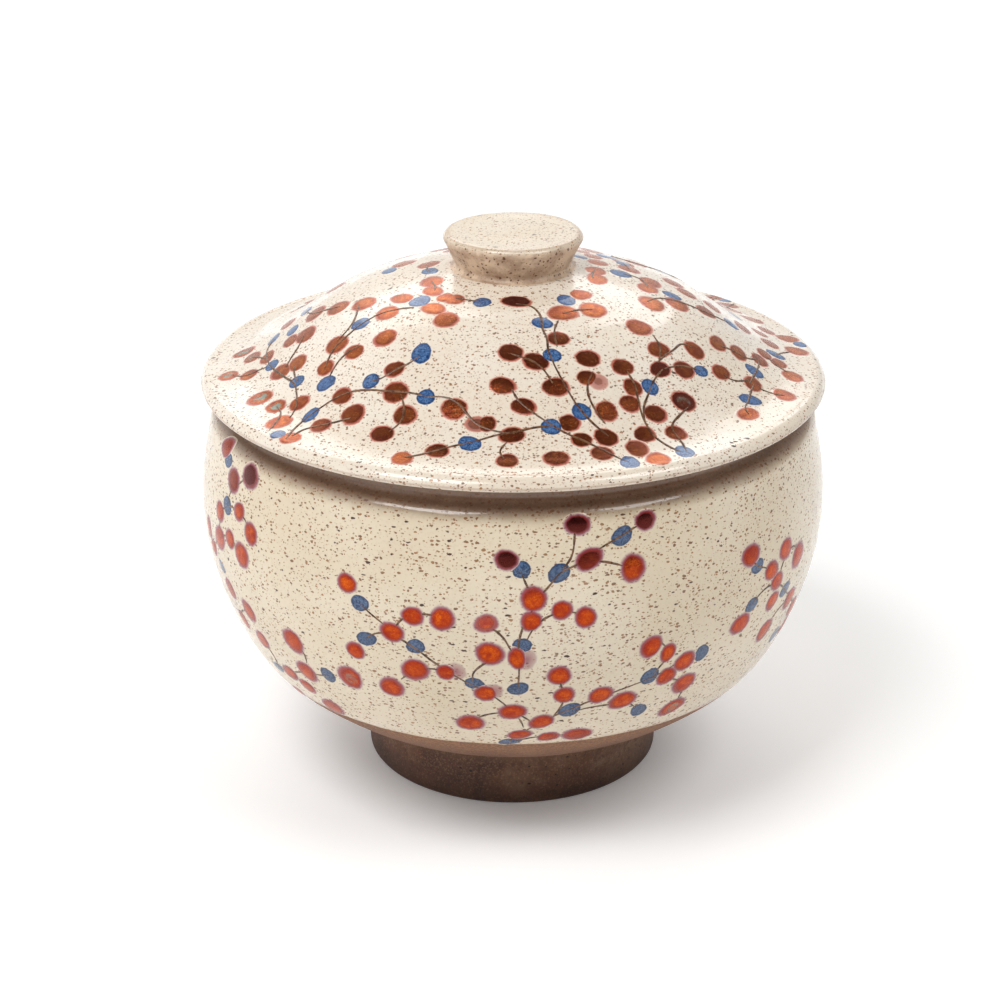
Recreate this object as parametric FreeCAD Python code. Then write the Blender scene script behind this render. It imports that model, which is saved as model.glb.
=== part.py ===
import FreeCAD, Part
import os

# Lidded stoneware rice bowl, in millimetres.
# Origin: centre of the foot's bottom plane. +Z runs up the bowl's axis, through the lid's knob.
# Every part is turned, so each outline is a list of (radius, height) points in the XZ plane.

# Driving dimensions
LID_RADIUS = 64.0
SEAT_HEIGHT = 84.3
BOWL_WALL = 4.2
BOWL_FLOOR_HEIGHT = 16.0
BOWL_RIM_HEIGHT = 84.1
LID_WALL = 4.0

# Top of the bowl: a rounded shoulder, a sloping ledge, and an upright neck with a round lip
SHOULDER_START = (62.35, 77.4)
SHOULDER_MIDDLE = (61.59, 78.94)
SHOULDER_END = (60.25, 80.06)
NECK_RADIUS = 59.0
MOUTH_RADIUS = 56.7
MOUTH_BASE_HEIGHT = 80.6
NECK_FILLET = [(59.85, 80.27), (59.23, 80.86), (NECK_RADIUS, 81.68)]

# Foot ring
FOOT_RADIUS = 31.1
FOOT_TOP_RADIUS = 31.5
FOOT_INNER_RADIUS = 25.3
FOOT_SEAT_RADIUS = 25.0
FOOT_EDGE_ROUND = 0.9
FOOT_HEIGHT = 12.4
RECESS_HEIGHT = 9.5

# Ring under the lid that drops inside the mouth
FLANGE_RADIUS = 55.8
FLANGE_WALL = 3.2
FLANGE_DEPTH = 6.5
FLANGE_EDGE_ROUND = 1.0

# Knob
KNOB_SEAT_RADIUS = 13.0
KNOB_SEAT_HEIGHT = 107.4
KNOB_WAIST = (11.8, 108.5)
KNOB_SHOULDER = (14.1, 113.3)
KNOB_TOP_EDGE = (12.7, 114.8)

# Outside of the bowl, from the top of the foot up to the shoulder
BOWL_OUTLINE = [
    (FOOT_TOP_RADIUS, 13.2),
    (37.0, 15.0),
    (42.0, 17.3),
    (47.1, 20.8),
    (51.3, 24.2),
    (54.6, 27.5),
    (58.9, 34.6),
    (62.9, 45.0),
    (65.0, 57.5),
    (64.5, 67.1),
    SHOULDER_START,
]

# Top of the lid, from the knob's seat out over the dome and the flare to the brim
LID_OUTLINE = [
    (KNOB_SEAT_RADIUS, KNOB_SEAT_HEIGHT),
    (22.0, 105.4),
    (30.0, 103.0),
    (38.0, 99.4),
    (45.0, 94.7),
    (51.0, 90.6),
    (57.0, 87.8),
    (61.2, 86.9),
]

AXIS_START = FreeCAD.Vector(0, 0, 0)
AXIS = FreeCAD.Vector(0, 0, 1)


def point(radius, height):
    return FreeCAD.Vector(radius, 0, height)


def line(start, end):
    return Part.LineSegment(point(*start), point(*end)).toShape()


def arc(start, middle, end):
    return Part.Arc(point(*start), point(*middle), point(*end)).toShape()


def smooth(outline):
    curve = Part.BSplineCurve()
    curve.interpolate([point(*p) for p in outline])
    return curve


def polyline(outline):
    return [line(a, b) for a, b in zip(outline, outline[1:])]


def turned(edges):
    """The solid made by turning a closed outline about the axis."""
    face = Part.Face(Part.Wire(edges))
    return face.revolve(AXIS_START, AXIS, 360)


def inset(outline, distance):
    """The outline's points moved square to it, to the left of its direction."""
    curve = smooth(outline)
    moved = []
    for p in outline:
        tangent = curve.tangent(curve.parameter(point(*p)))[0]
        moved.append((p[0] - distance * tangent.z, p[1] + distance * tangent.x))
    return moved


def neck():
    """The bowl's outline from the shoulder over the lip to the inner wall."""
    lip_radius = (NECK_RADIUS - MOUTH_RADIUS) / 2
    lip_base = BOWL_RIM_HEIGHT - lip_radius
    lip_outside = (NECK_RADIUS, lip_base)
    lip_inside = (MOUTH_RADIUS, lip_base)
    return [
        arc(SHOULDER_START, SHOULDER_MIDDLE, SHOULDER_END),
        line(SHOULDER_END, NECK_FILLET[0]),
        arc(*NECK_FILLET),
        line(NECK_FILLET[2], lip_outside),
        arc(lip_outside, (MOUTH_RADIUS + lip_radius, BOWL_RIM_HEIGHT), lip_inside),
        line(lip_inside, (MOUTH_RADIUS, MOUTH_BASE_HEIGHT)),
    ]


def bowl_body():
    outer = BOWL_OUTLINE
    inner = [(0.0, BOWL_FLOOR_HEIGHT)] + inset(outer, BOWL_WALL)[2:]
    inner.append((MOUTH_RADIUS, MOUTH_BASE_HEIGHT))
    underside = [
        (0.0, BOWL_FLOOR_HEIGHT),
        (0.0, RECESS_HEIGHT),
        (FOOT_SEAT_RADIUS, RECESS_HEIGHT),
        (FOOT_SEAT_RADIUS, FOOT_HEIGHT),
        (FOOT_TOP_RADIUS, FOOT_HEIGHT),
        outer[0],
    ]
    edges = polyline(underside)
    edges.append(smooth(outer).toShape())
    edges += neck()
    edges.append(smooth(inner).toShape())
    return turned(edges)


def rounded_bottom(inner_radius, outer_radius, bottom, edge):
    """The bottom of a ring, from its outer wall to its inner wall, with both corners rounded."""
    corner = edge * (1 - 0.5 ** 0.5)
    outer_start = (outer_radius, bottom + edge)
    outer_end = (outer_radius - edge, bottom)
    inner_start = (inner_radius + edge, bottom)
    inner_end = (inner_radius, bottom + edge)
    return [
        arc(outer_start, (outer_radius - corner, bottom + corner), outer_end),
        line(outer_end, inner_start),
        arc(inner_start, (inner_radius + corner, bottom + corner), inner_end),
    ]


def foot_ring():
    edges = rounded_bottom(FOOT_INNER_RADIUS, FOOT_RADIUS, 0.0, FOOT_EDGE_ROUND)
    walls = [
        (FOOT_INNER_RADIUS, FOOT_EDGE_ROUND),
        (FOOT_SEAT_RADIUS, FOOT_HEIGHT),
        (FOOT_TOP_RADIUS, FOOT_HEIGHT),
        (FOOT_RADIUS, FOOT_EDGE_ROUND),
    ]
    return turned(edges + polyline(walls))


def lid_dome():
    top = LID_OUTLINE
    lining = [(0.0, KNOB_SEAT_HEIGHT - LID_WALL)] + inset(top, -LID_WALL)[1:-2]
    lining.append((FLANGE_RADIUS - FLANGE_WALL, SEAT_HEIGHT))
    nose = (LID_RADIUS, SEAT_HEIGHT + 0.8)
    seat_edge = (LID_RADIUS - 0.8, SEAT_HEIGHT)
    edges = polyline([lining[0], (0.0, KNOB_SEAT_HEIGHT), top[0]])
    edges.append(smooth(top).toShape())
    edges.append(arc(top[-1], (LID_RADIUS - 0.8, SEAT_HEIGHT + 2.0), nose))
    edges.append(arc(nose, (LID_RADIUS - 0.25, SEAT_HEIGHT + 0.25), seat_edge))
    edges.append(line(seat_edge, lining[-1]))
    edges.append(smooth(lining).toShape())
    return turned(edges)


def lid_flange():
    inner = FLANGE_RADIUS - FLANGE_WALL
    bottom = SEAT_HEIGHT - FLANGE_DEPTH
    edges = rounded_bottom(inner, FLANGE_RADIUS, bottom, FLANGE_EDGE_ROUND)
    walls = [
        (inner, bottom + FLANGE_EDGE_ROUND),
        (inner, SEAT_HEIGHT),
        (FLANGE_RADIUS, SEAT_HEIGHT),
        (FLANGE_RADIUS, bottom + FLANGE_EDGE_ROUND),
    ]
    return turned(edges + polyline(walls))


def lid_knob():
    centre = (0.0, KNOB_SEAT_HEIGHT)
    foot = (KNOB_SEAT_RADIUS, KNOB_SEAT_HEIGHT)
    crown = (0.0, KNOB_TOP_EDGE[1])
    edges = [
        line(centre, foot),
        arc(foot, (12.15, 107.75), KNOB_WAIST),
        line(KNOB_WAIST, KNOB_SHOULDER),
        arc(KNOB_SHOULDER, (13.85, 114.35), KNOB_TOP_EDGE),
        line(KNOB_TOP_EDGE, crown),
        line(crown, centre),
    ]
    return turned(edges)


def main():
    os.makedirs("parts", exist_ok=True)
    for make in (bowl_body, foot_ring, lid_dome, lid_flange, lid_knob):
        shape = make()
        box = shape.optimalBoundingBox(False, False)
        print(make.__name__, shape.ShapeType, shape.isValid(), round(shape.Volume / 1000, 1), "cm3",
              "z", round(box.ZMin, 2), round(box.ZMax, 2), "r", round(box.XMax, 2))
        shape.exportStep("parts/" + make.__name__ + ".step")


main()
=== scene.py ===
import math
import random

import bmesh
import bpy
import numpy as np
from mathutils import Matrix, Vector


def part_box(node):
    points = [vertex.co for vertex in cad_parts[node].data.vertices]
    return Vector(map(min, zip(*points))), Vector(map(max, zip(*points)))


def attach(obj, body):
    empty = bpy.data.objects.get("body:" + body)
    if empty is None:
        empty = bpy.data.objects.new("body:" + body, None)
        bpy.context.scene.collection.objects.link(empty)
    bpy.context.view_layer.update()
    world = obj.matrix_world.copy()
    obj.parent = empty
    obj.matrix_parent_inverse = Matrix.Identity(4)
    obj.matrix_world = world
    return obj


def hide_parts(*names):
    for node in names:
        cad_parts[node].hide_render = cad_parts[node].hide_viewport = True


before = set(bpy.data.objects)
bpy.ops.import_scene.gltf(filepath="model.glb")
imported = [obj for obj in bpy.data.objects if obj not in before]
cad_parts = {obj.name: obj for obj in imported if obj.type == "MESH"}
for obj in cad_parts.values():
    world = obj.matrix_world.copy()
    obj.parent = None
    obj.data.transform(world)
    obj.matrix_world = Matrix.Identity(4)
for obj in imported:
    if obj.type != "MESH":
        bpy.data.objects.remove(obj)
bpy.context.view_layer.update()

# The object is drawn in millimetres and written in metres. Azimuth 0 is the front (-Y), 90 is +X.
MM = 0.001
random.seed(11)


def node_top(node):
    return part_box(node)[1].z / MM


def node_bottom(node):
    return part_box(node)[0].z / MM


def node_radius(node):
    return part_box(node)[1].x / MM


# --- Sizes ---
LID_RADIUS = node_radius("lid_dome")
SEAT_HEIGHT = node_bottom("lid_dome")
RIM_HEIGHT = node_top("bowl_body")
RECESS_HEIGHT = node_bottom("bowl_body")
FOOT_HEIGHT = node_top("foot_ring")
FOOT_TOP_RADIUS = node_radius("foot_ring")
KNOB_SEAT_HEIGHT = node_bottom("lid_knob")
KNOB_TOP_HEIGHT = node_top("lid_knob")
FLANGE_INNER_RADIUS = 52.6

BOWL_WALL = 4.2
LID_WALL = 4.0
FLOOR_HEIGHT = 16.0
FOOT_SEAT_RADIUS = 25.0
FOOT_TAPER = 0.4
FOOT_INNER_TAPER = 0.3
FOOT_EDGE_ROUND = 0.9
KNOB_SEAT_RADIUS = 13.0
KNOB_FILLET = (12.15, 107.8)
KNOB_WAIST = (11.8, 108.5)
KNOB_SHOULDER = (14.1, 113.3)
KNOB_TOP_EDGE = (12.7, KNOB_TOP_HEIGHT)
GLAZE_LINE = 27.0
# What the line attribute says where no bare clay can show
ALL_GLAZE = 20.0

# Outside of the bowl, foot to mouth, and top of the lid, knob to brim: the outlines of part.py
BOWL_OUTLINE = [
    (FOOT_TOP_RADIUS, 13.2), (37.0, 15.0), (42.0, 17.3), (47.1, 20.8), (51.3, 24.2), (54.6, 27.5),
    (58.9, 34.6), (62.9, 45.0), (65.0, 57.5), (64.5, 67.1), (62.35, 77.4),
]
LID_OUTLINE = [
    (KNOB_SEAT_RADIUS, KNOB_SEAT_HEIGHT), (22.0, 105.4), (30.0, 103.0), (38.0, 99.4),
    (45.0, 94.7), (51.0, 90.6), (57.0, 87.8), (61.2, 86.9),
]

# Top of the bowl: shoulder, ledge, and the neck that the lid rests on
SHOULDER = [(62.35, 77.4), (61.59, 78.94), (60.25, 80.06)]
NECK_RADIUS = 59.0
NECK_FILLET = [(59.85, 80.27), (59.23, 80.86), (NECK_RADIUS, 81.68)]
MOUTH_RADIUS = 56.7
MOUTH_BASE_HEIGHT = 80.6
LIP_RADIUS = (NECK_RADIUS - MOUTH_RADIUS) / 2

# Mesh steps
SEGMENTS = 320
KNOB_SEGMENTS = 160
ROW_STEP = 0.7
FINE_STEP = 0.3
INSIDE_STEP = 1.4
HIDDEN_STEP = 2.0
SURFACE_STEP = 0.05
SHARP_ANGLE = 50

# Hand-thrown unevenness
THROWING_PITCH = 5.2
THROWING_DEPTH = 0.04
WOBBLE = 0.08
# How far the bowl's relief is kept inside the CAD outline
INWARD = 0.20
# Where the relief fades in and out: heights on the bowl, radii on the lid
BOWL_RELIEF_IN = (20, 34)
BOWL_RELIEF_OUT = (73.0, 77.4)
LID_RELIEF_IN = (14, 24)
LID_RELIEF_OUT = (60.0, 63.0)
# Where the glaze gives way to bare clay under the lid, with painted shade of the lid's brim over the
# shoulder below it, and thins over the brim's nose and the knob's edge
NECK_CLAY_AND_SHADE_HEIGHTS = (76.9, 80.2)
LIP_CLAY_AND_SHADE_RADII = (MOUTH_RADIUS, MOUTH_RADIUS + 0.8)
BRIM_WEAR = (LID_RADIUS - 0.12, LID_RADIUS - 0.01)
KNOB_WEAR = (0.15, 0.75)
KNOB_WEAR_MIDDLE = (13.3, KNOB_TOP_HEIGHT - 0.2)
KNOB_SIDE_END = (KNOB_TOP_HEIGHT - 1.1, KNOB_TOP_HEIGHT - 0.3)


# --- Curves ---
class Spline:
    """A natural cubic spline through 2-D points. Its parameter is close to arc length."""

    def __init__(self, points):
        self.p = np.array(points, float)
        self.t = np.r_[0, np.cumsum(np.hypot(*np.diff(self.p, axis=0).T))]
        h = np.diff(self.t)
        n = len(self.p)
        a = np.eye(n)
        b = np.zeros((n, 2))
        slope = np.diff(self.p, axis=0) / h[:, None]
        for i in range(1, n - 1):
            a[i, i - 1:i + 2] = h[i - 1], 2 * (h[i - 1] + h[i]), h[i]
            b[i] = 6 * (slope[i] - slope[i - 1])
        self.m = np.linalg.solve(a, b)
        self.length = self.t[-1]

    def __call__(self, t):
        t = np.clip(np.asarray(t, float), 0, self.length)
        i = np.clip(np.searchsorted(self.t, t, side="right") - 1, 0, len(self.t) - 2)
        h = (self.t[i + 1] - self.t[i])[..., None]
        u = (self.t[i + 1] - t)[..., None]
        v = (t - self.t[i])[..., None]
        bend = (self.m[i] * u ** 3 + self.m[i + 1] * v ** 3) / (6 * h)
        straight = (self.p[i] / h - self.m[i] * h / 6) * u
        straight += (self.p[i + 1] / h - self.m[i + 1] * h / 6) * v
        return bend + straight

    def rows(self, step):
        return self(np.linspace(0, self.length, max(2, int(round(self.length / step)) + 1)))

    def inset(self, distance, keep=slice(None)):
        """The spline's own points moved square to it, to the left of its direction."""
        ahead = self(self.t + 0.01) - self(self.t - 0.01)
        ahead /= np.linalg.norm(ahead, axis=1)[:, None]
        moved = self.p + distance * np.c_[-ahead[:, 1], ahead[:, 0]]
        return [tuple(q) for q in moved[keep]]


def straight_rows(points, step=ROW_STEP):
    """Points along a run of straight lines."""
    found = [points[0]]
    for a, b in zip(points, points[1:]):
        count = max(1, int(math.dist(a, b) / step))
        for k in range(1, count + 1):
            found.append((a[0] + (b[0] - a[0]) * k / count, a[1] + (b[1] - a[1]) * k / count))
    return np.array(found)


def arc_rows(start, middle, end, step=FINE_STEP):
    """Points on the circle through three points."""
    (ax, ay), (bx, by), (cx, cy) = start, middle, end
    d = 2 * (ax * (by - cy) + bx * (cy - ay) + cx * (ay - by))
    a2, b2, c2 = ax * ax + ay * ay, bx * bx + by * by, cx * cx + cy * cy
    ox = (a2 * (by - cy) + b2 * (cy - ay) + c2 * (ay - by)) / d
    oy = (a2 * (cx - bx) + b2 * (ax - cx) + c2 * (bx - ax)) / d
    radius = math.hypot(ax - ox, ay - oy)
    first, mid, last = (math.atan2(y - oy, x - ox) for x, y in (start, middle, end))
    turn = (last - first) % math.tau
    if (mid - first) % math.tau > turn:
        turn -= math.tau
    count = max(3, int(abs(turn) * radius / step))
    angles = first + turn * np.linspace(0, 1, count + 1)
    return np.c_[ox + radius * np.cos(angles), oy + radius * np.sin(angles)]


def smoothstep(low, high, x):
    u = np.clip((np.asarray(x, float) - low) / (high - low), 0, 1)
    return u * u * (3 - 2 * u)


BOWL_CURVE = Spline(BOWL_OUTLINE)
LID_CURVE = Spline(LID_OUTLINE)
NOSE = (LID_RADIUS, SEAT_HEIGHT + 0.8)
SHOULDER_ROWS = arc_rows(*SHOULDER)
BRIM_ROWS = arc_rows(LID_OUTLINE[-1], (LID_RADIUS - 0.8, SEAT_HEIGHT + 2.0), NOSE)


class Path:
    """A run of dense rows, followed by its arc length."""

    def __init__(self, *runs):
        rows = np.concatenate(runs)
        steps = np.r_[0, np.cumsum(np.hypot(*np.diff(rows, axis=0).T))]
        fresh = np.r_[True, np.diff(steps) > 1e-6]
        self.rows, self.steps = rows[fresh], steps[fresh]
        self.length = self.steps[-1]

    def __call__(self, t):
        return np.stack([np.interp(t, self.steps, self.rows[:, k]) for k in (0, 1)], -1)


# --- Surfaces of the two thrown pieces, with their unevenness ---
def throwing(azimuth, along, seed):
    """Height of the spiral ridges that fingers leave, uneven along and around."""
    turn = azimuth / math.tau
    ridge = np.sin(math.tau * (along / THROWING_PITCH + turn) + seed)
    finer = np.sin(math.tau * (along / (THROWING_PITCH * 0.43) - 2 * turn) + 2.1 * seed)
    swell = 0.6 + 0.4 * np.sin(along * 0.31 + 3 * azimuth + seed)
    return THROWING_DEPTH * swell * (ridge + 0.25 * finer)


def wobble(azimuth, along, seed):
    """Slow out-of-round."""
    two = np.sin(2 * azimuth + seed + along * 0.02)
    three = np.sin(3 * azimuth - 1.7 * seed - along * 0.05)
    return WOBBLE * (0.6 * two + 0.4 * three)


def bowl_relief(azimuth, r, z):
    fade = smoothstep(*BOWL_RELIEF_IN, z) * (1 - smoothstep(*BOWL_RELIEF_OUT, z))
    return fade * (throwing(azimuth, z, 0.4) + wobble(azimuth, z, 1.0) - INWARD), 0 * z


def lid_relief(azimuth, r, z):
    fade = smoothstep(*LID_RELIEF_IN, r) * (1 - smoothstep(*LID_RELIEF_OUT, r))
    return 0 * z, fade * (throwing(azimuth, r, 2.0) + wobble(azimuth, r, 2.6))


class Surface:
    """A thrown surface that paint can be laid on: azimuth in radians, and distance along its outline."""

    def __init__(self, curve, relief, upward, column, turn=0.0):
        self.turn = math.radians(turn)
        self.curve = curve
        self.relief = relief
        self.upward = upward
        steps = np.linspace(0, curve.length, 2000)
        values = curve(steps)[:, column]
        order = np.argsort(values)
        self.lookup = values[order], steps[order]

    def along(self, value):
        """Where on the outline its height (bowl) or radius (lid) has this value."""
        return np.interp(value, *self.lookup)

    def radius(self, t):
        return self.curve(t)[..., 0]

    def at(self, azimuth, t):
        r, z = np.moveaxis(self.curve(t), -1, 0)
        dr, dz = self.relief(azimuth, r, z)
        r, z = r + dr, z + dz
        return np.stack([r * np.sin(azimuth), -r * np.cos(azimuth), z], -1)

    def lifted(self, azimuth, t, lift):
        """Points that far above the surface."""
        e = 0.05
        azimuth = azimuth + self.turn
        here = self.at(azimuth, t)
        across = self.at(azimuth + e / self.radius(t), t) - self.at(azimuth - e / self.radius(t), t)
        up = (self.at(azimuth, t + e) - self.at(azimuth, t - e)) * self.upward
        normal = np.cross(across, up)
        normal /= np.linalg.norm(normal, axis=-1)[..., None]
        return here + normal * np.asarray(lift)[..., None]


BOWL_SURFACE = Surface(Path(BOWL_CURVE.rows(SURFACE_STEP), SHOULDER_ROWS), bowl_relief, 1, 1, turn=0.8)
LID_SURFACE = Surface(Path(LID_CURVE.rows(SURFACE_STEP), BRIM_ROWS), lid_relief, -1, 0)


# --- Meshes ---
def new_piece(name, points, faces, attributes):
    """A mesh object from points in millimetres, with float attributes on its points."""
    mesh = bpy.data.meshes.new(name)
    mesh.from_pydata([tuple(p) for p in np.asarray(points) * MM], [], faces)
    mesh.validate()
    for key, values in attributes.items():
        layer = mesh.attributes.new(key, "FLOAT", "POINT")
        layer.data.foreach_set("value", np.asarray(values, np.float32))
    mesh.polygons.foreach_set("use_smooth", [True] * len(mesh.polygons))
    mesh.set_sharp_from_angle(angle=math.radians(SHARP_ANGLE))
    piece = bpy.data.objects.new(name, mesh)
    bpy.context.scene.collection.objects.link(piece)
    return piece


def turned_piece(name, sections, relief, attributes, segments=SEGMENTS):
    """A closed turned piece. sections are (rows, thrown) pairs in order from axis to axis, or round a ring.

    relief moves the rows whose section is thrown. attributes maps a name to a function of
    (azimuth, r, z, thrown).
    """
    rows, thrown = [], []
    for points, is_thrown in sections:
        for p in points:
            if rows and math.dist(rows[-1], p) < 1e-4:
                thrown[-1] = max(thrown[-1], is_thrown)
                continue
            rows.append(tuple(p))
            thrown.append(is_thrown)
    ring = math.dist(rows[0], rows[-1]) < 1e-4
    if ring:
        rows.pop()
        thrown.pop()
    azimuth = np.linspace(0, math.tau, segments, endpoint=False)
    points, faces, starts = [], [], []
    values = {key: [] for key in attributes}
    for (r, z), is_thrown in zip(rows, thrown):
        angle = azimuth if r > 1e-6 else azimuth[:1]
        rr, zz = np.full(len(angle), r), np.full(len(angle), z)
        if is_thrown:
            dr, dz = relief(angle, rr, zz)
            rr, zz = rr + dr, zz + dz
        starts.append((len(points), len(angle)))
        points += list(np.c_[rr * np.sin(angle), -rr * np.cos(angle), zz])
        for key, function in attributes.items():
            values[key] += list(np.broadcast_to(function(angle, rr, zz, is_thrown), len(angle)))
    pairs = list(zip(starts, starts[1:]))
    if ring:
        pairs.append((starts[-1], starts[0]))
    for (a, count_a), (b, count_b) in pairs:
        for k in range(segments):
            n = (k + 1) % segments
            if count_a == 1:
                faces.append((a, b + n, b + k))
            elif count_b == 1:
                faces.append((a + k, a + n, b))
            else:
                faces.append((a + k, a + n, b + n, b + k))
    return new_piece(name, points, faces, values)


def rounded_bottom(inner, outer, bottom, edge):
    """Rows round the bottom of a ring, from its outer wall to its inner wall."""
    corner = edge * (1 - math.sqrt(0.5))
    return [
        (arc_rows((outer, bottom + edge), (outer - corner, bottom + corner), (outer - edge, bottom)), 0),
        (straight_rows([(outer - edge, bottom), (inner + edge, bottom)]), 0),
        (arc_rows((inner + edge, bottom), (inner + corner, bottom + corner), (inner, bottom + edge)), 0),
    ]


def glaze_above_line(azimuth, r, z, thrown):
    """Height above the dipping line, which the outside has and the inside hasn't."""
    outside = thrown or z[0] < FLOOR_HEIGHT - 0.5
    return z - GLAZE_LINE if outside else np.full(len(z), ALL_GLAZE)


def neck_clay_and_shade(azimuth, r, z, thrown):
    """1 on the neck and its lip, where the clay is bare, falling away over the shoulder, where it is painted
    shade of the lid's brim.
    """
    return smoothstep(*NECK_CLAY_AND_SHADE_HEIGHTS, z) * smoothstep(*LIP_CLAY_AND_SHADE_RADII, r)


def make_bowl_body():
    inner = Spline([(0.0, FLOOR_HEIGHT)] + BOWL_CURVE.inset(BOWL_WALL, slice(2, None))
                   + [(MOUTH_RADIUS, MOUTH_BASE_HEIGHT)])
    lip_base = RIM_HEIGHT - LIP_RADIUS
    outer_rows = BOWL_CURVE.rows(ROW_STEP)
    sections = [
        (straight_rows([
            (0.0, RECESS_HEIGHT), (FOOT_SEAT_RADIUS, RECESS_HEIGHT), (FOOT_SEAT_RADIUS, FOOT_HEIGHT),
            (FOOT_TOP_RADIUS, FOOT_HEIGHT), tuple(outer_rows[0]),
        ], HIDDEN_STEP), 0),
        (outer_rows, 1),
        (SHOULDER_ROWS, 0),
        (arc_rows(*NECK_FILLET), 0),
        (arc_rows((NECK_RADIUS, lip_base), (NECK_RADIUS - LIP_RADIUS, RIM_HEIGHT), (MOUTH_RADIUS, lip_base)),
         0),
        (inner.rows(INSIDE_STEP)[::-1], 0),
    ]
    return turned_piece("glazed_bowl", sections, bowl_relief,
                        {"line": glaze_above_line, "wear": neck_clay_and_shade})


def make_foot():
    foot_radius = FOOT_TOP_RADIUS - FOOT_TAPER
    inner_radius = FOOT_SEAT_RADIUS + FOOT_INNER_TAPER
    sections = rounded_bottom(inner_radius, foot_radius, 0.0, FOOT_EDGE_ROUND)
    sections += [
        (straight_rows([(inner_radius, FOOT_EDGE_ROUND), (FOOT_SEAT_RADIUS, FOOT_HEIGHT)]), 0),
        (straight_rows([(FOOT_SEAT_RADIUS, FOOT_HEIGHT), (FOOT_TOP_RADIUS, FOOT_HEIGHT)]), 0),
        (straight_rows([(FOOT_TOP_RADIUS, FOOT_HEIGHT), (foot_radius, FOOT_EDGE_ROUND)]), 0),
    ]
    return turned_piece("turned_foot", sections, None, {"line": lambda a, r, z, t: z - GLAZE_LINE})


def brim_wear(azimuth, r, z, thrown):
    """1 where the glaze breaks thin over the brim's nose."""
    return smoothstep(*BRIM_WEAR, r)


def make_lid_dome():
    lining = Spline([(0.0, KNOB_SEAT_HEIGHT - LID_WALL)] + LID_CURVE.inset(-LID_WALL, slice(1, -2))
                    + [(FLANGE_INNER_RADIUS, SEAT_HEIGHT)])
    top_rows = LID_CURVE.rows(ROW_STEP)
    seat_edge = (LID_RADIUS - 0.8, SEAT_HEIGHT)
    sections = [
        (straight_rows([(0.0, KNOB_SEAT_HEIGHT), tuple(top_rows[0])], HIDDEN_STEP), 0),
        (top_rows, 1),
        (BRIM_ROWS, 0),
        (arc_rows(NOSE, (LID_RADIUS - 0.25, SEAT_HEIGHT + 0.25), seat_edge), 0),
        (straight_rows([seat_edge, (FLANGE_INNER_RADIUS, SEAT_HEIGHT)]), 0),
        (lining.rows(INSIDE_STEP)[::-1], 0),
    ]
    flipped = [(rows[::-1], kind) for rows, kind in sections[::-1]]
    return turned_piece("glazed_lid", flipped, lid_relief,
                        {"line": lambda a, r, z, t: np.full(len(z), ALL_GLAZE), "wear": brim_wear})


def knob_wear(azimuth, r, z, thrown):
    """1 along the knob's top edge."""
    edge = np.hypot(r - KNOB_WEAR_MIDDLE[0], z - KNOB_WEAR_MIDDLE[1])
    return 1 - smoothstep(*KNOB_WEAR, edge)


def knob_side(azimuth, r, z, thrown):
    """1 on the knob's side, where the glaze is thin."""
    return 1 - smoothstep(*KNOB_SIDE_END, z)


def knob_relief(azimuth, r, z):
    bump = 0.10 * np.sin(3 * azimuth + 0.7) + 0.06 * np.sin(5 * azimuth + z)
    return smoothstep(9, 12, r) * bump, -0.12 * smoothstep(4, 9, r) * (1 - smoothstep(9, 12, r))


def make_knob():
    foot = (KNOB_SEAT_RADIUS + 0.25, KNOB_SEAT_HEIGHT - 0.05)
    sections = [
        (straight_rows([(0.0, foot[1]), foot], HIDDEN_STEP), 0),
        (arc_rows(foot, KNOB_FILLET, KNOB_WAIST), 1),
        (straight_rows([KNOB_WAIST, KNOB_SHOULDER], 0.5), 1),
        (arc_rows(KNOB_SHOULDER, (13.85, KNOB_TOP_HEIGHT - 0.45), KNOB_TOP_EDGE), 1),
        (straight_rows([KNOB_TOP_EDGE, (0.0, KNOB_TOP_HEIGHT)], 0.8), 1),
    ]
    return turned_piece("turned_knob", sections, knob_relief,
                        {"wear": knob_wear, "side": knob_side}, segments=KNOB_SEGMENTS)


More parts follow.
